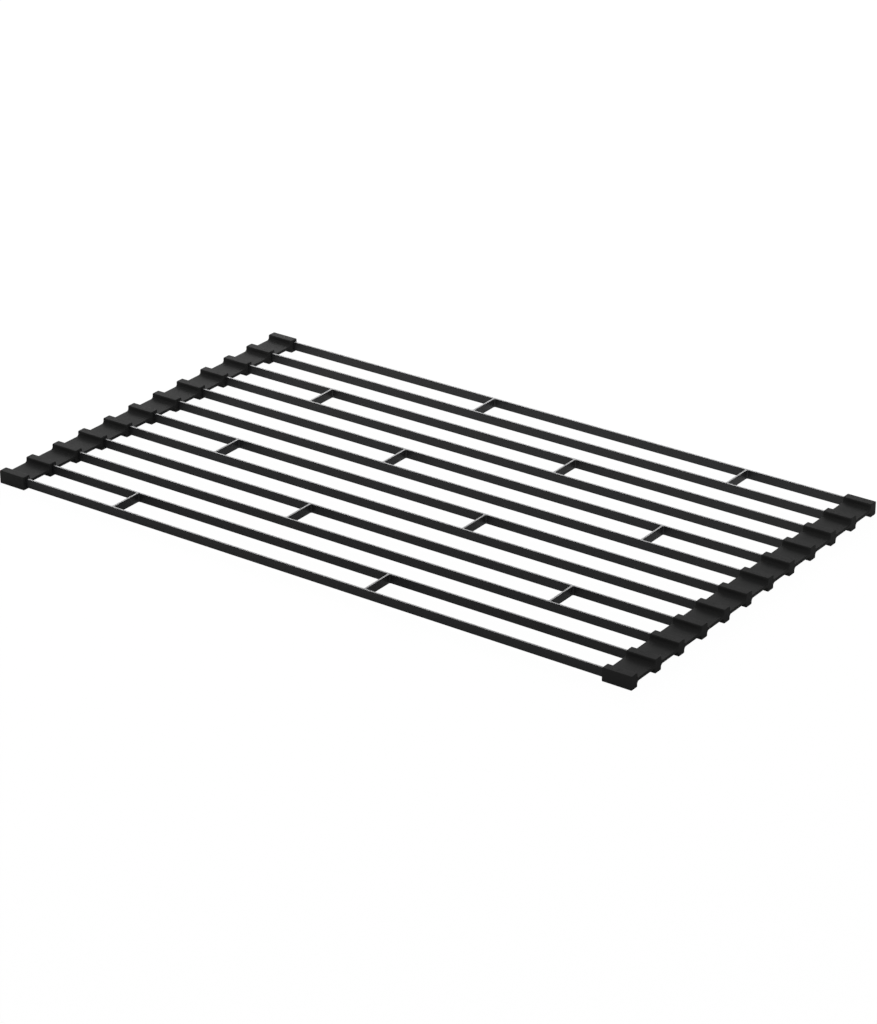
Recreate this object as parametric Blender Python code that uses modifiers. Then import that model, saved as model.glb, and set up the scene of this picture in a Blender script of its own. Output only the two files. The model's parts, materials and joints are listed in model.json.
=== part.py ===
"""Folding dish rack.

Twelve flat steel bars stand on edge, a finger's width apart. Two short ties weld them into
six rigid panels of two bars. At each end the bars sit in the sockets of a silicone strip,
whose thin webs bend between one panel and the next, so that the rack folds like a fan.

X runs along the bars, Y from the front bar to the back one, Z up. The origin is on the
surface that the rack lies on, under the middle of the rack. All sizes are in metres.
"""

import bmesh
import bpy

# How many panels fold on each other, and how many bars each holds
PANEL_COUNT = 6
BARS_PER_PANEL = 2

# Steel bars: the distance between neighbours, the length in view, and the section on edge
BAR_PITCH = 0.025
BAR_SPAN = 0.435
BAR_HEIGHT = 0.006
BAR_THICKNESS = 0.0015
BAR_EDGE_RADIUS = 0.00025

# Ties between the bars of a panel: the section, and the distance between their columns
TIE_HEIGHT = 0.006
TIE_THICKNESS = 0.0015
TIE_EDGE_RADIUS = 0.00025
TIE_SPACING = 0.0975
# Columns of a panel's ties, in spacings from the middle; every other panel is mirrored
TIE_COLUMN_SHARES = (-1.5, 0.5)

# Silicone strip: the block round a bar's end, and the closed wall past the bar's tip
SLEEVE_LENGTH = 0.02
SLEEVE_WIDTH = 0.0064
SLEEVE_HEIGHT = 0.009
SLEEVE_END_WALL = 0.003
SLEEVE_EDGE_RADIUS = 0.0004

# Webs of the strip: thickness, and the fillet and the stiff root where they leave a block
WEB_THICKNESS = 0.002
WEB_FILLET = 0.0016
WEB_ROOT = 0.0018

# Clearance between pieces that seat in or run beside each other
FIT_GAP = 0.0003
# How far a cutter runs past the face that it opens
CUT_OVERRUN = 0.001

# Steps in which edges and the ends of the webs are rounded
BAR_EDGE_STEPS = 1
SLEEVE_EDGE_STEPS = 2
WEB_END_STEPS = 5
# Share of a web's half thickness that the rounding of its ends takes up
WEB_END_ROUND_SHARE = 0.99

# Corners closer than this are one, and faces that meet at less than this angle, in radians, too
WELD_DISTANCE = 0.000001
FLAT_ANGLE = 0.01

BAR_COUNT = PANEL_COUNT * BARS_PER_PANEL
# The bars and the webs lie at half the height of the strip, so either face can be up
MID_LEVEL = SLEEVE_HEIGHT / 2
SOCKET_DEPTH = SLEEVE_LENGTH - SLEEVE_END_WALL
BAR_LENGTH = BAR_SPAN + 2 * (SOCKET_DEPTH - FIT_GAP)
SLEEVE_X = (BAR_SPAN + SLEEVE_LENGTH) / 2
# From a bar's middle to the end of the web's root, and on to the line where the web bends
ROOT_REACH = SLEEVE_WIDTH / 2 + WEB_ROOT
BEND_REACH = ROOT_REACH + FIT_GAP + WEB_THICKNESS / 2

SIDES = {"left": -1, "right": 1}


def bar_y(index):
    """Y of a bar's middle, counted from the front bar, which is 0."""
    return (index - (BAR_COUNT - 1) / 2) * BAR_PITCH


def first_bar(panel):
    """The front bar of a panel; both are counted from 0."""
    return panel * BARS_PER_PANEL


def last_bar(panel):
    """The back bar of a panel."""
    return first_bar(panel) + BARS_PER_PANEL - 1


def clear_scene():
    """Removes whatever the scene holds."""
    for item in list(bpy.data.objects):
        bpy.data.objects.remove(item, do_unlink=True)


def make_collection(name):
    """A collection of this name under the scene's own."""
    collection = bpy.data.collections.new(name)
    bpy.context.scene.collection.children.link(collection)
    return collection


def make_material(name, colour, roughness, metallic):
    """A plain Principled material."""
    material = bpy.data.materials.new(name)
    material.use_nodes = True
    shader = material.node_tree.nodes["Principled BSDF"]
    shader.inputs["Base Color"].default_value = (*colour, 1.0)
    shader.inputs["Roughness"].default_value = roughness
    shader.inputs["Metallic"].default_value = metallic
    material.diffuse_color = (*colour, 1.0)
    return material


def coated_steel():
    """Satin black powder coat on steel."""
    return make_material("coated_steel", (0.012, 0.012, 0.013), 0.38, 0.0)


def black_silicone():
    """Matt black silicone rubber."""
    return make_material("black_silicone", (0.018, 0.018, 0.019), 0.62, 0.0)


def move_to(item, collection):
    """Puts an object in one collection only."""
    for other in list(item.users_collection):
        other.objects.unlink(item)
    collection.objects.link(item)


def block(name, size, centre):
    """A box of this size about its centre, with its scale applied."""
    bpy.ops.mesh.primitive_cube_add(size=1, location=centre)
    item = bpy.context.active_object
    item.name = name
    item.data.name = name
    item.scale = size
    bpy.context.view_layer.update()
    bpy.ops.object.transform_apply(location=False, rotation=False, scale=True)
    return item


def join_to(item, other):
    """Unites another object with this one by a Boolean, and takes the other away."""
    union = item.modifiers.new("union", "BOOLEAN")
    union.operation = "UNION"
    union.solver = "EXACT"
    union.object = other
    apply_modifiers(item)
    bpy.data.objects.remove(other, do_unlink=True)


def apply_modifiers(item):
    """Replaces an object's mesh with the one that its modifiers make."""
    depsgraph = bpy.context.evaluated_depsgraph_get()
    mesh = bpy.data.meshes.new_from_object(item.evaluated_get(depsgraph))
    old = item.data
    item.modifiers.clear()
    item.data = mesh
    mesh.name = old.name
    bpy.data.meshes.remove(old)


def tidy_mesh(item):
    """Melts the flat seams that a union leaves, so that only real edges are rounded."""
    work = bmesh.new()
    work.from_mesh(item.data)
    bmesh.ops.remove_doubles(work, verts=work.verts, dist=WELD_DISTANCE)
    bmesh.ops.dissolve_limit(work, angle_limit=FLAT_ANGLE, verts=work.verts, edges=work.edges)
    work.to_mesh(item.data)
    work.free()


def weigh_edges(item, weight_of):
    """Sets each edge's bevel weight to what weight_of says of it."""
    work = bmesh.new()
    work.from_mesh(item.data)
    layer = work.edges.layers.float.new("bevel_weight_edge")
    for edge in work.edges:
        edge[layer] = weight_of(edge)
    work.to_mesh(item.data)
    work.free()


def round_edges(item, width, steps, by_weight=False):
    """Rounds all edges alike, or each by its bevel weight."""
    bevel = item.modifiers.new("round_edges", "BEVEL")
    bevel.width = width
    bevel.segments = steps
    bevel.limit_method = "WEIGHT" if by_weight else "ANGLE"
    bevel.use_clamp_overlap = False


def cut(item, cutter):
    """Cuts another object's shape out of this one."""
    difference = item.modifiers.new("cut_" + cutter.name, "BOOLEAN")
    difference.operation = "DIFFERENCE"
    difference.solver = "EXACT"
    difference.object = cutter


def finish_piece(item, parts, material, carrier):
    """Puts a piece in the parts collection, gives it its material and hangs it on its carrier."""
    move_to(item, parts)
    item.data.materials.clear()
    item.data.materials.append(material)
    item.location = item.location - carrier.matrix_world.translation
    item.parent = carrier


def make_carrier(name, place, parts, parent=None):
    """An empty on a joint's axis, which carries the pieces that turn about it."""
    carrier = bpy.data.objects.new(name, None)
    carrier.empty_display_size = BAR_PITCH / 2
    parts.objects.link(carrier)
    carrier.parent = parent
    origin = parent.matrix_world.translation if parent else carrier.location.copy()
    carrier.location = [place[axis] - origin[axis] for axis in range(3)]
    bpy.context.view_layer.update()
    return carrier


def make_bar(index, parts, steel, carrier):
    """One flat bar on edge, its ends inside the silicone."""
    size = (BAR_LENGTH, BAR_THICKNESS, BAR_HEIGHT)
    bar = block(f"bar_{index + 1:02d}", size, (0, bar_y(index), MID_LEVEL))
    round_edges(bar, BAR_EDGE_RADIUS, BAR_EDGE_STEPS)
    finish_piece(bar, parts, steel, carrier)


def make_tie(panel, side, column, front, parts, steel, carrier):
    """A short flat bar on edge between two bars of a panel, in the given column."""
    name = f"tie_{panel + 1}_{side}"
    if BARS_PER_PANEL > 2:
        name = f"{name}_{front - first_bar(panel) + 1}"
    length = BAR_PITCH - BAR_THICKNESS - 2 * FIT_GAP
    middle = (bar_y(front) + bar_y(front + 1)) / 2
    place = (column * TIE_SPACING, middle, MID_LEVEL)
    tie = block(name, (TIE_THICKNESS, length, TIE_HEIGHT), place)
    round_edges(tie, TIE_EDGE_RADIUS, BAR_EDGE_STEPS)
    finish_piece(tie, parts, steel, carrier)


def web_between(name, side, start, end):
    """A flat web of the strip from one Y to another, on one side of the rack."""
    size = (SLEEVE_LENGTH, end - start, WEB_THICKNESS)
    place = (SIDES[side] * SLEEVE_X, (start + end) / 2, MID_LEVEL)
    return block(name, size, place)


def socket_cutter(name, side, index, cutters):
    """The blind hole that a bar's end sits in, open at the sleeve's inner end."""
    length = SOCKET_DEPTH + CUT_OVERRUN
    size = (length, BAR_THICKNESS + 2 * FIT_GAP, BAR_HEIGHT + 2 * FIT_GAP)
    middle = BAR_SPAN / 2 - CUT_OVERRUN + length / 2
    cutter = block(name, size, (SIDES[side] * middle, bar_y(index), MID_LEVEL))
    cutter.hide_render = True
    cutter.display_type = "WIRE"
    move_to(cutter, cutters)
    return cutter


def sleeve_edge_weight(edge):
    """Full weight in the corners where a web meets a block, less on outer edges."""
    if edge.is_convex:
        return SLEEVE_EDGE_RADIUS / WEB_FILLET
    return 1.0


def make_sleeve(panel, side, parts, cutters, silicone, carrier):
    """The stiff part of the strip on one side of a panel: blocks, web and two web roots."""
    first = first_bar(panel)
    last = last_bar(panel)
    start = bar_y(first) - (ROOT_REACH if panel > 0 else 0)
    end = bar_y(last) + (ROOT_REACH if panel < PANEL_COUNT - 1 else 0)
    sleeve = web_between(f"sleeve_{panel + 1}_{side}", side, start, end)
    size = (SLEEVE_LENGTH, SLEEVE_WIDTH, SLEEVE_HEIGHT)
    for index in range(first, last + 1):
        place = (SIDES[side] * SLEEVE_X, bar_y(index), MID_LEVEL)
        join_to(sleeve, block("sleeve_block", size, place))
    tidy_mesh(sleeve)
    weigh_edges(sleeve, sleeve_edge_weight)
    round_edges(sleeve, WEB_FILLET, SLEEVE_EDGE_STEPS, by_weight=True)
    for index in range(first, last + 1):
        cut(sleeve, socket_cutter(f"socket_{index + 1:02d}_{side}", side, index, cutters))
    finish_piece(sleeve, parts, silicone, carrier)


def web_end_weight(edge):
    """Full weight on the edges along X, which round the web about the lines it bends on."""
    first, second = (vertex.co for vertex in edge.verts)
    return float(abs(first.x - second.x) > WEB_THICKNESS)


def make_web(gap, side, parts, silicone, carrier):
    """The flexible web between two panels on one side, round about both bending lines."""
    name = f"web_{gap + 1}_{side}"
    half = WEB_THICKNESS / 2
    web = web_between(name, side, near_bend_y(gap) - half, far_bend_y(gap) + half)
    weigh_edges(web, web_end_weight)
    round_edges(web, half * WEB_END_ROUND_SHARE, WEB_END_STEPS, by_weight=True)
    finish_piece(web, parts, silicone, carrier)


def near_bend_y(gap):
    """Y of the line where the web behind a panel bends, next to that panel."""
    return bar_y(last_bar(gap)) + BEND_REACH


def far_bend_y(gap):
    """Y of the line where the same web bends next to the following panel."""
    return bar_y(first_bar(gap + 1)) - BEND_REACH


def make_panel(panel, parts, cutters, steel, silicone, carrier):
    """Bars, ties and the stiff silicone of one panel."""
    first = first_bar(panel)
    for index in range(first, last_bar(panel) + 1):
        make_bar(index, parts, steel, carrier)
    mirror = -1 if panel % 2 else 1
    columns = sorted(mirror * share for share in TIE_COLUMN_SHARES)
    for side, column in zip(SIDES, columns):
        for front in range(first, last_bar(panel)):
            make_tie(panel, side, column, front, parts, steel, carrier)
    for side in SIDES:
        make_sleeve(panel, side, parts, cutters, silicone, carrier)


def main():
    clear_scene()
    parts = make_collection("folding_dish_rack")
    cutters = make_collection("cutters")
    steel = coated_steel()
    silicone = black_silicone()
    carrier = make_carrier("panel_1_carrier", (0, 0, 0), parts)
    make_panel(0, parts, cutters, steel, silicone, carrier)
    for gap in range(PANEL_COUNT - 1):
        place = (0, near_bend_y(gap), MID_LEVEL)
        carrier = make_carrier(f"web_{gap + 1}_carrier", place, parts, carrier)
        for side in SIDES:
            make_web(gap, side, parts, silicone, carrier)
        place = (0, far_bend_y(gap), MID_LEVEL)
        carrier = make_carrier(f"panel_{gap + 2}_carrier", place, parts, carrier)
        make_panel(gap + 1, parts, cutters, steel, silicone, carrier)


main()
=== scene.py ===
"""A flat folding dish rack. Six panels, each of two black powder coated flat bars welded to two short ties,
lie side by side with their bars' ends in two black silicone strips. Between the panels the strips are thin
webs that bend, so the rack folds like a fan. It lies on a pale studio floor in soft light."""
import json
import math

import bmesh
import bpy
from mathutils import Matrix, Quaternion, Vector

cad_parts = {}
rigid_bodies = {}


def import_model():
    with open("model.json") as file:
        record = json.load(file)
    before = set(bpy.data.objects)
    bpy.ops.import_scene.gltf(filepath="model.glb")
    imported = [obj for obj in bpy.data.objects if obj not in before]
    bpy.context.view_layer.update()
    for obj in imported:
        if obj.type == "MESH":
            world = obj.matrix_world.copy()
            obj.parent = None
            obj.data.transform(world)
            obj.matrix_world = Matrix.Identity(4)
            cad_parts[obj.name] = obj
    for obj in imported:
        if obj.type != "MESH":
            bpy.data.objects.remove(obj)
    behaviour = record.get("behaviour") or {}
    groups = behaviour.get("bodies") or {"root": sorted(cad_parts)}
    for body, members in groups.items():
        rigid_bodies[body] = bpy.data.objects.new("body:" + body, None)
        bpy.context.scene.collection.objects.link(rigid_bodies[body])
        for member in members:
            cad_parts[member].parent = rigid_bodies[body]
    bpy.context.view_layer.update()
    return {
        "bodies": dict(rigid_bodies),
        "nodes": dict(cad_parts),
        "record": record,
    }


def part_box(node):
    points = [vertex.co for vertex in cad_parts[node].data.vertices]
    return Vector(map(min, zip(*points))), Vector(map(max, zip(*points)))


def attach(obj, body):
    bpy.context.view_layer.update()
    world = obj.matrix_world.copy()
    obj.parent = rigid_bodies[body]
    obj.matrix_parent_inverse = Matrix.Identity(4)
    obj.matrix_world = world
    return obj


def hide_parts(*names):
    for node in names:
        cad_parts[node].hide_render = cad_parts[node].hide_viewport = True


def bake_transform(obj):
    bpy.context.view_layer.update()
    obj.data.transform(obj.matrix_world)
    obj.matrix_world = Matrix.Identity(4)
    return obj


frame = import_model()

BODIES = frame["record"]["behaviour"]["bodies"]
PANELS = sorted(body for body in frame["bodies"] if body.startswith("panel"))
LINKS = sorted(body for body in frame["bodies"] if body.startswith("link"))
BARS = sorted(node for node in frame["nodes"] if node.startswith("bar"))

MM = 0.001                      # lengths are in metres, but for the camera's lens and sensor

# Edges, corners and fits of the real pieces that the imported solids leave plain
BAR_EDGE = 0.25 * MM            # rolled edge of the flat bar under its coat
BAR_END_CORNER = 0.3 * MM       # wider than the edge, or the two cross
WELD_FILLET = 0.9 * MM          # coated weld in each corner between tie and bar
BLOCK_EDGE = 0.45 * MM          # moulded edge round both ends of the silicone
BLOCK_CORNER = 0.8 * MM         # wider than the edge, or the two cross
WEB_FILLET = 1.6 * MM           # where a web runs into its block
SOCKET_FIT = 0.1 * MM           # daylight between a bar and its socket, all round
CORNER_STEPS = 6
EDGE_STEPS = 4
ROUND_ANGLE = math.radians(40)  # edges flatter than this belong to a curve and stay as they are
SHARP_ANGLE = math.radians(50)  # edges steeper than this are shaded as hard ones
MERGE = 0.001 * MM

# How a web bends: from its root, past its hinge, to the stiff middle of the web
BEND_END = 9.0 * MM             # from the middle of the bar
BEND_STEP = 0.4 * MM            # between the cuts that let it bend smoothly

# Patterns of the finishes: how far it is from crest to crest, and how deep they are. The real orange peel
# is 0.5 mm from crest to crest and the real blasted grain 0.1 mm. Both are coarser here, so that the render
# shows them.
PEEL_SIZE, PEEL_DEPTH = 1.1 * MM, 0.02 * MM
FLOW_SIZE = 30 * MM
GRAIN_SIZE, GRAIN_DEPTH = 0.6 * MM, 0.03 * MM
CLOUD_SIZE = 12 * MM
COAT_ROUGHNESS = (0.44, 0.48)
SILICONE_ROUGHNESS = (0.76, 0.84)
NOISE_RANGE = (0.3, 0.7)        # nearly all values of a noise lie in it

# Camera that took the picture, found from the edges of the bars and blocks
LENS = 116.006
SENSOR = 36.0
AZIMUTH, ELEVATION, ROLL = 35.67, 25.56, -0.124
AIM = Vector((19.6, -21.7, 4.5)) * MM
DISTANCE = 2045.2 * MM
NEAREST, FARTHEST = 0.1, 50.0

# Studio
FLOOR_SIZE = 12.0
FLOOR_GAP = 0.02 * MM
FLOOR_GLOW = 0.985              # for the camera
FLOOR_SHADE = 0.03              # what the camera sees of the rack's shadow
GLOW_RAMP_REACH = 200 * MM          # painted glow for the rack: the floor gets brighter from this far in front to this far behind
PAINTED_GLOW_RAMP = (0.0, 0.34)
TENT_STRENGTH = 0.27
# Each softbox has its width and height, its place and its watts. It faces the middle of the rack.
SOFTBOXES = {"softbox_behind": ((0.9, 0.5), Vector((-0.55, 0.85, 0.45)), 10.3),
             "softbox_left": ((1.2, 0.6), Vector((-1.2, 0.3, 0.5)), 8.0)}

# How nodes are laid out in the editor
NODE_STEP = (220, -260)
NODES_IN_ROW = 8


def linear(code):
    """Linear colour of an sRGB hex value."""
    parts = [int(code[i:i + 2], 16) / 255 for i in (1, 3, 5)]
    return [c / 12.92 if c <= 0.04045 else ((c + 0.055) / 1.055) ** 2.4 for c in parts] + [1.0]


def add(tree, kind, inputs=None, **settings):
    """Adds a node to a tree and returns its outputs. An input is a plain value, the output that it is
    linked from, or a list of such outputs."""
    made = tree.nodes.new(kind)
    row, column = divmod(len(tree.nodes), NODES_IN_ROW)
    made.location = (NODE_STEP[0] * column, NODE_STEP[1] * row)
    for name, value in settings.items():
        setattr(made, name, value)
    for name, value in (inputs or {}).items():
        sources = value if isinstance(value, list) else [value]
        if isinstance(sources[0], bpy.types.NodeSocket):
            for source in sources:
                tree.links.new(source, made.inputs[name])
        else:
            made.inputs[name].default_value = value
    return made.outputs


def spread(values):
    """Inputs of a Map Range that turns a noise into values between two."""
    return {"From Min": NOISE_RANGE[0], "From Max": NOISE_RANGE[1],
            "To Min": values[0], "To Max": values[1]}


# Finishes

def new_material(name):
    """An empty node material and its tree."""
    material = bpy.data.materials.new(name)
    material.use_nodes = True
    material.node_tree.nodes.clear()
    return material, material.node_tree


def powder_coat():
    """Satin black polyester powder coat, sprayed and baked on steel. The eye gets a near-black with a soft
    sheen that is bright where light grazes the top edges, and a faint orange peel in it."""
    material, tree = new_material("satin_black_powder_coat")
    place = add(tree, "ShaderNodeTexCoord")["Object"]
    peel = add(tree, "ShaderNodeTexNoise", {"Vector": place, "Scale": 1 / PEEL_SIZE, "Detail": 2.0,
                                            "Roughness": 0.5})["Fac"]
    # The coat flows thicker and thinner along a bar, which moves its sheen a little.
    flow = add(tree, "ShaderNodeTexNoise", {"Vector": place, "Scale": 1 / FLOW_SIZE, "Detail": 3.0,
                                            "Roughness": 0.55})["Fac"]
    colour = add(tree, "ShaderNodeMix", {"Factor": flow, "A": linear("#28282a"), "B": linear("#2d2d2e")},
                 data_type="RGBA")["Result"]
    sheen = add(tree, "ShaderNodeMapRange", {"Value": flow, **spread(COAT_ROUGHNESS)})["Result"]
    bump = add(tree, "ShaderNodeBump", {"Height": peel, "Strength": 0.25, "Distance": PEEL_DEPTH})
    shader = add(tree, "ShaderNodeBsdfPrincipled", {"Base Color": colour, "Metallic": 0.0,
                                                    "Roughness": sheen, "IOR": 1.5,
                                                    "Normal": bump["Normal"]})
    add(tree, "ShaderNodeOutputMaterial", {"Surface": shader["BSDF"]})
    return material


def silicone():
    """Black silicone rubber, moulded in a lightly blasted tool. The eye gets a matt, dark grey black that
    mirrors next to nothing, with a fine even grain and soft, cloudy patches where it was handled."""
    material, tree = new_material("moulded_matt_black_silicone")
    place = add(tree, "ShaderNodeTexCoord")["Object"]
    grain = add(tree, "ShaderNodeTexNoise", {"Vector": place, "Scale": 1 / GRAIN_SIZE, "Detail": 3.0,
                                             "Roughness": 0.6})["Fac"]
    cloud = add(tree, "ShaderNodeTexNoise", {"Vector": place, "Scale": 1 / CLOUD_SIZE, "Detail": 4.0,
                                             "Roughness": 0.6})["Fac"]
    colour = add(tree, "ShaderNodeMix", {"Factor": cloud, "A": linear("#383838"), "B": linear("#3c3c3c")},
                 data_type="RGBA")["Result"]
    rough = add(tree, "ShaderNodeMapRange", {"Value": cloud, **spread(SILICONE_ROUGHNESS)})["Result"]
    bump = add(tree, "ShaderNodeBump", {"Height": grain, "Strength": 0.3, "Distance": GRAIN_DEPTH})
    # The silicone hardly shines even where the steel's tops do, so its specular level is low.
    shader = add(tree, "ShaderNodeBsdfPrincipled", {"Base Color": colour, "Metallic": 0.0,
                                                    "Roughness": rough, "IOR": 1.41,
                                                    "Specular IOR Level": 0.055,
                                                    "Normal": bump["Normal"]})
    add(tree, "ShaderNodeOutputMaterial", {"Surface": shader["BSDF"]})
    return material


def studio_floor():
    """White paper. For the camera it is overlit, so only a faint shadow is left on it. The rack sees the
    paper lit by the softboxes, plus a painted glow on it that gets brighter towards the back."""
    material, tree = new_material("white_studio_paper")
    white = linear("#ffffff")
    glow = add(tree, "ShaderNodeEmission", {"Color": white, "Strength": FLOOR_GLOW})["Emission"]
    shade = add(tree, "ShaderNodeBsdfDiffuse", {"Color": [FLOOR_SHADE] * 3 + [1.0]})["BSDF"]
    for_camera = add(tree, "ShaderNodeAddShader", {0: glow, 1: shade})["Shader"]
    place = add(tree, "ShaderNodeTexCoord")["Object"]
    depth = add(tree, "ShaderNodeSeparateXYZ", {"Vector": place})["Y"]
    # Painted glow: emission on the paper that grows brighter towards the back, standing in for light on it.
    strength = add(tree, "ShaderNodeMapRange", {"Value": depth, "From Min": -GLOW_RAMP_REACH,
                                                "From Max": GLOW_RAMP_REACH, "To Min": PAINTED_GLOW_RAMP[0],
                                                "To Max": PAINTED_GLOW_RAMP[1]})["Result"]
    painted_glow = add(tree, "ShaderNodeEmission", {"Color": white, "Strength": strength})["Emission"]
    paper = add(tree, "ShaderNodeBsdfDiffuse", {"Color": linear("#cccccc")})["BSDF"]
    for_rack = add(tree, "ShaderNodeAddShader", {0: painted_glow, 1: paper})["Shader"]
    seen = add(tree, "ShaderNodeLightPath")["Is Camera Ray"]
    shader = add(tree, "ShaderNodeMixShader", {0: seen, 1: for_rack, 2: for_camera})["Shader"]
    add(tree, "ShaderNodeOutputMaterial", {"Surface": shader})
    return material


# Shapes made by rule

def new_tree(name, sockets):
    """A Geometry Nodes tree with a geometry coming in and going out, and named inputs for its sizes. Gives
    the tree and the outputs of its input node."""
    tree = bpy.data.node_groups.new(name, "GeometryNodeTree")
    tree.interface.new_socket("Geometry", in_out="INPUT", socket_type="NodeSocketGeometry")
    for label, kind in sockets.items():
        tree.interface.new_socket(label, in_out="INPUT", socket_type="NodeSocket" + kind)
    tree.interface.new_socket("Geometry", in_out="OUTPUT", socket_type="NodeSocketGeometry")
    return tree, add(tree, "NodeGroupInput")


def put_on(thing, tree, values):
    """Puts a tree on an object as a modifier, with its inputs set by their identifiers."""
    modifier = thing.modifiers.new(tree.name, "NODES")
    modifier.node_group = tree
    for socket in tree.interface.items_tree:
        if socket.in_out == "INPUT" and socket.name in values:
            modifier[socket.identifier] = values[socket.name]


def plate_tree():
    """A flat outline, whose corners are rounded by each point's own radius, becomes a plate."""
    tree, given = new_tree("plate_from_outline", {"Thickness": "Float", "Corner Steps": "Int",
                                                  "Turn": "Rotation", "Place": "Vector",
                                                  "Finish": "Material"})
    radius = add(tree, "GeometryNodeInputRadius")["Radius"]
    outline = add(tree, "GeometryNodeFilletCurve", {"Curve": given["Geometry"], "Radius": radius,
                                                    "Count": given["Corner Steps"], "Limit Radius": True},
                  mode="POLY")["Curve"]
    face = add(tree, "GeometryNodeFillCurve", {"Curve": outline}, mode="NGONS")["Mesh"]
    raised = add(tree, "GeometryNodeExtrudeMesh", {"Mesh": face, "Offset Scale": given["Thickness"],
                                                   "Individual": False}, mode="FACES")["Mesh"]
    under = add(tree, "GeometryNodeFlipFaces", {"Mesh": face})["Mesh"]
    both = add(tree, "GeometryNodeJoinGeometry", {"Geometry": [raised, under]})["Geometry"]
    whole = add(tree, "GeometryNodeMergeByDistance", {"Geometry": both, "Distance": MERGE})["Geometry"]
    half = add(tree, "ShaderNodeMath", {0: given["Thickness"], 1: -0.5}, operation="MULTIPLY")["Value"]
    drop = add(tree, "ShaderNodeCombineXYZ", {"Z": half})["Vector"]
    centred = add(tree, "GeometryNodeTransform", {"Geometry": whole, "Translation": drop})["Geometry"]
    placed = add(tree, "GeometryNodeTransform", {"Geometry": centred, "Translation": given["Place"],
                                                 "Rotation": given["Turn"]})["Geometry"]
    real = add(tree, "GeometryNodeRealizeInstances", {"Geometry": placed})["Geometry"]
    done = add(tree, "GeometryNodeSetMaterial", {"Geometry": real, "Material": given["Finish"]})["Geometry"]
    add(tree, "NodeGroupOutput", {"Geometry": done})
    return tree


def socket_tree():
    """A row of blind sockets, one for each bar, is cut into the silicone."""
    tree, given = new_tree("sockets_for_bars", {"Bars": "Int", "First": "Vector", "Pitch": "Vector",
                                                "Socket Size": "Vector", "Finish": "Material"})
    row = add(tree, "GeometryNodeMeshLine", {"Count": given["Bars"], "Start Location": given["First"],
                                             "Offset": given["Pitch"]}, mode="OFFSET")["Mesh"]
    block = add(tree, "GeometryNodeMeshCube", {"Size": given["Socket Size"]})["Mesh"]
    blocks = add(tree, "GeometryNodeInstanceOnPoints", {"Points": row, "Instance": block})["Instances"]
    cutters = add(tree, "GeometryNodeRealizeInstances", {"Geometry": blocks})["Geometry"]
    cut = add(tree, "GeometryNodeMeshBoolean", {"Mesh 1": given["Geometry"], "Mesh 2": cutters},
              operation="DIFFERENCE", solver="EXACT")["Mesh"]
    real = add(tree, "GeometryNodeRealizeInstances", {"Geometry": cut})["Geometry"]
    done = add(tree, "GeometryNodeSetMaterial", {"Geometry": real, "Material": given["Finish"]})["Geometry"]
    add(tree, "NodeGroupOutput", {"Geometry": done})
    return tree


def outline_curve(name, loops):
    """A flat curve whose closed loops are lists of (x, y, corner radius)."""
    curve = bpy.data.curves.new(name, "CURVE")
    curve.dimensions = "3D"
    for loop in loops:
        spline = curve.splines.new("POLY")
        spline.points.add(len(loop) - 1)
        for point, (x, y, radius) in zip(spline.points, loop):
            point.co = (x, y, 0.0, 1.0)
            point.radius = radius
        spline.use_cyclic_u = True
    thing = bpy.data.objects.new(name, curve)
    bpy.context.scene.collection.objects.link(thing)
    return thing


def round_edges(thing, width):
    """Rounds the hard edges of an object. A curve's facets are left alone."""
    bevel = thing.modifiers.new("edges", "BEVEL")
    bevel.width = width
    bevel.segments = EDGE_STEPS
    bevel.limit_method = "ANGLE"
    bevel.angle_limit = ROUND_ANGLE
    bevel.use_clamp_overlap = False


def plain_mesh(thing):
    """The finished mesh of an object with its modifiers, and the object is cleared away."""
    evaluated = thing.evaluated_get(bpy.context.evaluated_depsgraph_get())
    mesh = bpy.data.meshes.new_from_object(evaluated)
    bpy.data.objects.remove(thing)
    return mesh


def piece_of(name, mesh):
    """A piece of the rack from a closed mesh: faces outwards, flats flat and round edges round."""
    shape = bmesh.new()
    shape.from_mesh(mesh)
    bmesh.ops.remove_doubles(shape, verts=shape.verts, dist=MERGE)
    bmesh.ops.recalc_face_normals(shape, faces=shape.faces)
    for face in shape.faces:
        face.smooth = True
    shape.to_mesh(mesh)
    shape.free()
    mesh.set_sharp_from_angle(angle=SHARP_ANGLE)
    mesh.name = name
    piece = bpy.data.objects.new(name, mesh)
    bpy.context.scene.collection.objects.link(piece)
    flats = piece.modifiers.new("flats", "WEIGHTED_NORMAL")
    flats.keep_sharp = True
    return piece


def middle_of(node):
    """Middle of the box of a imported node."""
    low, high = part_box(node)
    return (low + high) / 2


# Steel panels

def panel_loops(bars, ties):
    """Plan of a panel as it is after welding: one outline round both bars and ties, and the window between
    the ties. Bars run along X, the front one first, and the left tie is the first."""
    (front_low, front_high), (back_low, back_high) = [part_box(bar) for bar in bars]
    (left_low, left_high), (right_low, right_high) = [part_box(tie) for tie in ties]
    end, weld = BAR_END_CORNER, WELD_FILLET
    outside = [(front_low.x, front_low.y, end), (front_high.x, front_low.y, end),
               (front_high.x, front_high.y, end), (right_high.x, front_high.y, weld),
               (right_high.x, back_low.y, weld), (back_high.x, back_low.y, end),
               (back_high.x, back_high.y, end), (back_low.x, back_high.y, end),
               (back_low.x, back_low.y, end), (left_low.x, back_low.y, weld),
               (left_low.x, front_high.y, weld), (front_low.x, front_high.y, end)]
    window = [(left_high.x, front_high.y, weld), (right_low.x, front_high.y, weld),
              (right_low.x, back_low.y, weld), (left_high.x, back_low.y, weld)]
    return [outside, window]


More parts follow.
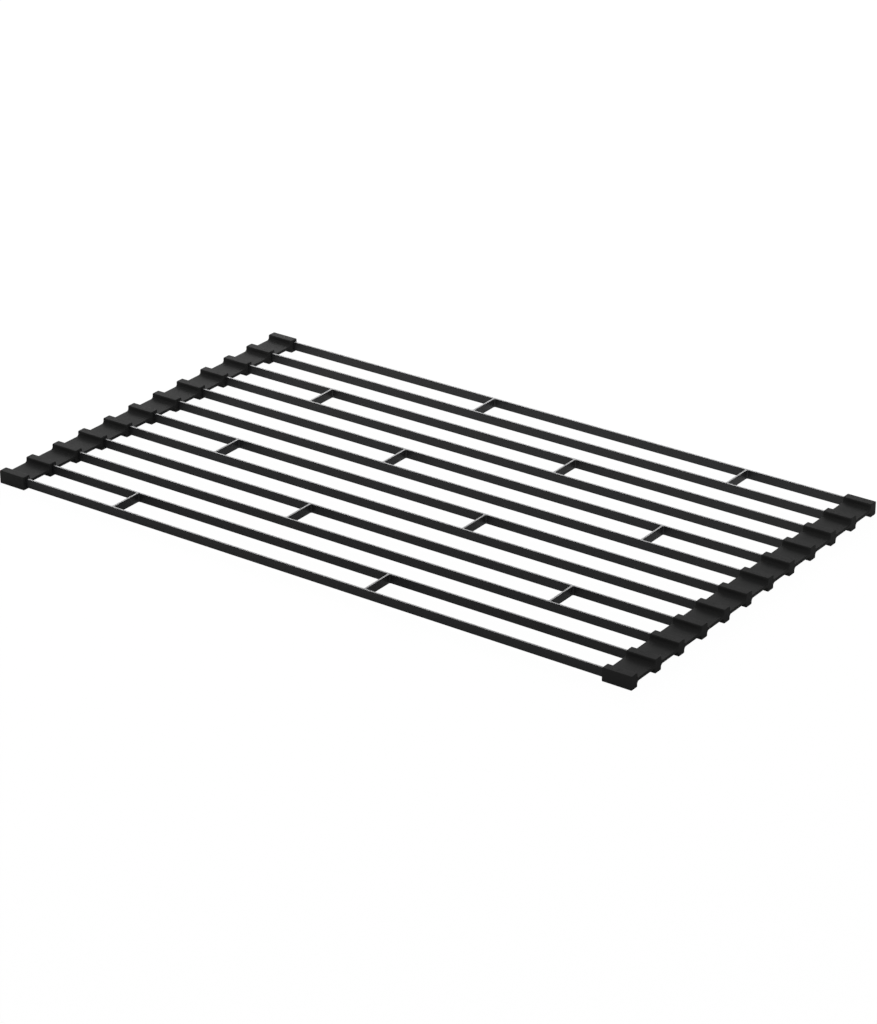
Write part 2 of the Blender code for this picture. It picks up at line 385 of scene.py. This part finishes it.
def make_panel(body, plates, finish):
    """One welded and coated panel, in place of its two bars and two ties."""
    bars, ties = [sorted(node for node in BODIES[body] if node.startswith(kind)) for kind in ("bar", "tie")]
    low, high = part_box(bars[0])
    flat = outline_curve("outline", panel_loops(bars, ties))
    put_on(flat, plates, {"Thickness": high.z - low.z, "Corner Steps": CORNER_STEPS,
                          "Turn": (0.0, 0.0, 0.0), "Place": (0.0, 0.0, (low.z + high.z) / 2),
                          "Finish": finish})
    round_edges(flat, BAR_EDGE)
    piece = piece_of("steel_" + body, plain_mesh(flat))
    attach(piece, body)
    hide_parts(*bars, *ties)


# Silicone strips

def strip_loop(rows, half_width, half_height, half_web):
    """Side view of a strip: a block round every bar and a thin web between them, rounded where they meet.
    rows are the bars' places along the strip."""
    over = []
    for number, row in enumerate(rows):
        if number > 0:
            over.append((row - half_width, half_web, WEB_FILLET))
        over.append((row - half_width, half_height, BLOCK_CORNER))
        over.append((row + half_width, half_height, BLOCK_CORNER))
        if number < len(rows) - 1:
            over.append((row + half_width, half_web, WEB_FILLET))
    under = [(y, -z, radius) for y, z, radius in reversed(over)]
    return over + under


def make_strip(plates, sockets, finish):
    """The right strip as one moulding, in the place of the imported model's sleeves and webs."""
    middles = [middle_of(bar) for bar in BARS]
    bar_low, bar_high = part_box(BARS[0])
    low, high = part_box("sleeve_1_right")
    web_low, web_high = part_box("web_1_right")
    loop = strip_loop([middle.y for middle in middles], half_width=middles[0].y - low.y,
                      half_height=(high.z - low.z) / 2, half_web=(web_high.z - web_low.z) / 2)
    flat = outline_curve("side_view", [loop])
    put_on(flat, plates, {"Thickness": high.x - low.x, "Corner Steps": CORNER_STEPS,
                          "Turn": (math.radians(90), 0.0, math.radians(90)),
                          "Place": ((low.x + high.x) / 2, 0.0, middles[0].z), "Finish": finish})
    round_edges(flat, BLOCK_EDGE)
    # The cutter reaches as far out of the strip's inner face as into it.
    depth = bar_high.x + SOCKET_FIT - low.x
    size = (2 * depth, bar_high.y - bar_low.y + 2 * SOCKET_FIT, bar_high.z - bar_low.z + 2 * SOCKET_FIT)
    put_on(flat, sockets, {"Bars": len(BARS), "First": (low.x, middles[0].y, middles[0].z),
                           "Pitch": (0.0, middles[1].y - middles[0].y, 0.0), "Socket Size": size,
                           "Finish": finish})
    return plain_mesh(flat)


def cut_across(shape, place, drop_front=False, drop_back=False):
    """Cuts a strip at a place along it. A side that is dropped leaves a closed face at the cut."""
    everything = shape.verts[:] + shape.edges[:] + shape.faces[:]
    bmesh.ops.bisect_plane(shape, geom=everything, plane_co=(0, place, 0), plane_no=(0, 1, 0), dist=MERGE,
                           clear_inner=drop_front, clear_outer=drop_back)
    if drop_front or drop_back:
        bmesh.ops.edgeloop_fill(shape, edges=[edge for edge in shape.edges if edge.is_boundary])


def slice_of(mesh, start, end, cuts):
    """The part of a strip from start to end, closed at both, with extra cuts for a bend. None stands for
    the strip's own end."""
    shape = bmesh.new()
    shape.from_mesh(mesh)
    bmesh.ops.remove_doubles(shape, verts=shape.verts, dist=MERGE)
    if start is not None:
        cut_across(shape, start, drop_front=True)
    if end is not None:
        cut_across(shape, end, drop_back=True)
    for place in cuts:
        cut_across(shape, place)
    part = mesh.copy()
    shape.to_mesh(part)
    shape.free()
    return part


def sleeve_ends(side):
    """Where each panel's stiff part starts and ends along the strip, with the roots of its webs."""
    boxes = [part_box(f"sleeve_{body[-1]}_{side}") for body in PANELS]
    return [(low.y, high.y) for low, high in boxes]


def dress_sleeves(side, strip):
    """Hangs a stiff part of the strip on each panel. The outermost two keep the strip's own ends."""
    ends = sleeve_ends(side)
    for number, body in enumerate(PANELS):
        start = ends[number][0] if number > 0 else None
        end = ends[number][1] if number < len(PANELS) - 1 else None
        piece = piece_of(f"silicone_{body}_{side}", slice_of(strip, start, end, []))
        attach(piece, body)
        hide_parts(f"sleeve_{body[-1]}_{side}")


def bend_places(start, end):
    """Even cuts from one end of a bend to the other."""
    count = round((end - start) / BEND_STEP)
    return [start + (end - start) * step / count for step in range(count + 1)]


def dress_webs(side, strip):
    """Cuts each web in two halves at its middle, each with fine cuts across it next to its panel."""
    ends = sleeve_ends(side)
    for number, link in enumerate(LINKS):
        near_panel, far_panel = PANELS[number], PANELS[number + 1]
        near_root, far_root = ends[number][1], ends[number + 1][0]
        middle = (near_root + far_root) / 2
        near_end = middle_of(BARS[2 * number + 1]).y + BEND_END
        far_end = middle_of(BARS[2 * number + 2]).y - BEND_END
        for word, part_ends, bend_ends, pair in (
                ("near", (near_root, middle), (near_root, near_end), (near_panel, link)),
                ("far", (middle, far_root), (far_end, far_root), (link, far_panel))):
            part = slice_of(strip, *part_ends, bend_places(*bend_ends))
            piece = piece_of(f"silicone_web_{link[-1]}_{side}_{word}", part)
            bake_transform(piece)
            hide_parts(f"web_{link[-1]}_{side}")


# Studio

def floor_tree():
    """Keeps the floor just under the lowest corner of the panels, however the rack is folded."""
    tree, given = new_tree("floor_under_rack", {"Gap": "Float"})
    blocks = []
    for body in PANELS:
        corners = [corner for node in BODIES[body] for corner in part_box(node)]
        low = Vector(min(corner[axis] for corner in corners) for axis in range(3))
        high = Vector(max(corner[axis] for corner in corners) for axis in range(3))
        block = add(tree, "GeometryNodeMeshCube", {"Size": high - low})["Mesh"]
        rest = add(tree, "GeometryNodeTransform", {"Geometry": block, "Translation": (low + high) / 2})
        place = add(tree, "GeometryNodeObjectInfo", {"Object": frame["bodies"][body]},
                    transform_space="ORIGINAL")["Transform"]
        moved = add(tree, "GeometryNodeTransform", {"Geometry": rest["Geometry"], "Transform": place},
                    mode="MATRIX")["Geometry"]
        blocks.append(moved)
    rack = add(tree, "GeometryNodeJoinGeometry", {"Geometry": blocks})["Geometry"]
    place = add(tree, "GeometryNodeInputPosition")["Position"]
    height = add(tree, "ShaderNodeSeparateXYZ", {"Vector": place})["Z"]
    lowest = add(tree, "GeometryNodeAttributeStatistic", {"Geometry": rack, "Attribute": height})["Min"]
    level = add(tree, "ShaderNodeMath", {0: lowest, 1: given["Gap"]}, operation="SUBTRACT")["Value"]
    shift = add(tree, "ShaderNodeCombineXYZ", {"Z": level})["Vector"]
    done = add(tree, "GeometryNodeSetPosition", {"Geometry": given["Geometry"], "Offset": shift})
    add(tree, "NodeGroupOutput", {"Geometry": done["Geometry"]})
    return tree


def make_floor():
    """A floor far wider than the camera sees."""
    half = FLOOR_SIZE / 2
    corners = [(-half, -half, 0), (half, -half, 0), (half, half, 0), (-half, half, 0)]
    mesh = bpy.data.meshes.new("floor")
    mesh.from_pydata(corners, [], [(0, 1, 2, 3)])
    mesh.materials.append(studio_floor())
    floor = bpy.data.objects.new("floor", mesh)
    bpy.context.scene.collection.objects.link(floor)
    put_on(floor, floor_tree(), {"Gap": FLOOR_GAP})


def make_tent():
    """A dim white tent all round, plain white to the camera."""
    world = bpy.data.worlds.new("white_tent")
    world.use_nodes = True
    tree = world.node_tree
    tree.nodes.clear()
    white = linear("#ffffff")
    dim = add(tree, "ShaderNodeBackground", {"Color": white, "Strength": TENT_STRENGTH})["Background"]
    plain = add(tree, "ShaderNodeBackground", {"Color": white, "Strength": 1.0})["Background"]
    seen = add(tree, "ShaderNodeLightPath")["Is Camera Ray"]
    shader = add(tree, "ShaderNodeMixShader", {0: seen, 1: dim, 2: plain})["Shader"]
    add(tree, "ShaderNodeOutputWorld", {"Surface": shader})
    bpy.context.scene.world = world


def make_softboxes():
    """Two wide softboxes, one behind the left of the rack and one on its left. Their light skims the
    tops."""
    for name, (size, place, watts) in SOFTBOXES.items():
        data = bpy.data.lights.new(name, "AREA")
        data.shape = "RECTANGLE"
        data.size, data.size_y = size
        data.energy = watts
        lamp = bpy.data.objects.new(name, data)
        bpy.context.scene.collection.objects.link(lamp)
        lamp.location = place
        lamp.rotation_mode = "QUATERNION"
        lamp.rotation_quaternion = (-place).to_track_quat("-Z", "Y")
        lamp.visible_camera = False


def make_camera():
    """Looks at AIM from the front right and from above. The Standard view keeps white paper white."""
    data = bpy.data.cameras.new("camera")
    data.lens = LENS
    data.sensor_width = SENSOR
    data.clip_start = NEAREST
    data.clip_end = FARTHEST
    camera = bpy.data.objects.new("camera", data)
    bpy.context.scene.collection.objects.link(camera)
    azimuth, elevation = math.radians(AZIMUTH), math.radians(ELEVATION)
    back = Vector((math.sin(azimuth) * math.cos(elevation), -math.cos(azimuth) * math.cos(elevation),
                   math.sin(elevation)))
    roll = Quaternion((0, 0, 1), math.radians(ROLL))
    camera.location = AIM + back * DISTANCE
    camera.rotation_mode = "QUATERNION"
    camera.rotation_quaternion = (-back).to_track_quat("-Z", "Y") @ roll
    bpy.context.scene.camera = camera
    bpy.context.scene.view_settings.view_transform = "Standard"


# The whole rack

def main():
    """Builds the rack, then the studio round it."""
    coat, rubber = powder_coat(), silicone()
    plates, sockets = plate_tree(), socket_tree()
    for body in PANELS:
        make_panel(body, plates, coat)
    strip = make_strip(plates, sockets, rubber)
    for side in ("right", "left"):
        dress_sleeves(side, strip)
        dress_webs(side, strip)
        # After half a turn the right strip is the left one.
        strip.transform(Matrix.Rotation(math.pi, 4, "Z"))
    make_floor()
    make_tent()
    make_softboxes()
    make_camera()


main()
